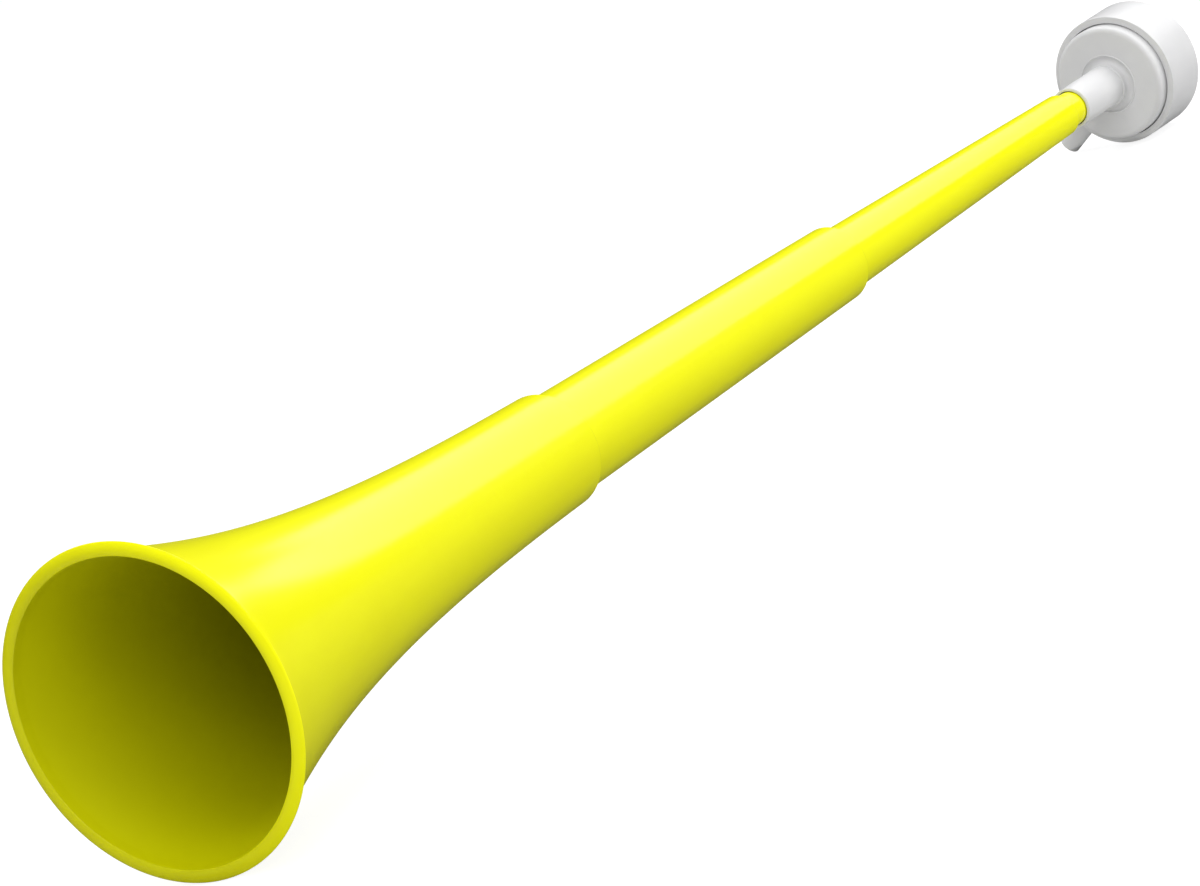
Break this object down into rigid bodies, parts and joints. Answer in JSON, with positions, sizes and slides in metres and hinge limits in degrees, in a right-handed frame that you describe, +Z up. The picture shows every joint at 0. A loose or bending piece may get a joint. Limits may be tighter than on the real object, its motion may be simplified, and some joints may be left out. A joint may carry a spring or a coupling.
{
  "type": "telescopic stadium horn",
  "caption": "Telescopic plastic stadium horn with a flared bell and a membrane sound head that is blown from the side, lying on a table drawn out to its full length.",
  "frame": {"origin": "middle of the footprint on the table that the horn lies on", "axes": "+Y along the horn from the bell to the sound head, level with the table, +Z up; the horn's own axis falls by 2.6 degrees towards the head"},
  "size_m": [0.1098, 0.6638, 0.1097],
  "materials": {
    "yellow_plastic": "glossy moulded polypropylene",
    "white_plastic": "glossy moulded polypropylene",
    "film": "thin milky film under tension"
  },
  "bodies": {
    "bell": {"bell_section": "yellow_plastic"},
    "middle": {"middle_section": "yellow_plastic"},
    "narrow": {"narrow_section": "yellow_plastic"},
    "head": {"stem_plate": "white_plastic", "drum_housing": "white_plastic", "membrane": "film", "clamp_ring": "white_plastic"}
  },
  "joints": [
    {"name": "middle_slide", "type": "slide", "parent": "bell", "child": "middle", "axis": [0, -0.999, 0.0455], "range_m": [0, 0.185]},
    {"name": "narrow_slide", "type": "slide", "parent": "middle", "child": "narrow", "axis": [0, -0.999, 0.0455], "range_m": [0, 0.2]},
    {"name": "head_turn", "type": "hinge", "parent": "narrow", "child": "head", "pos_m": [0, 0.27292, 0.02754], "axis": [0, 0.999, -0.0455], "continuous": true}
  ]
}
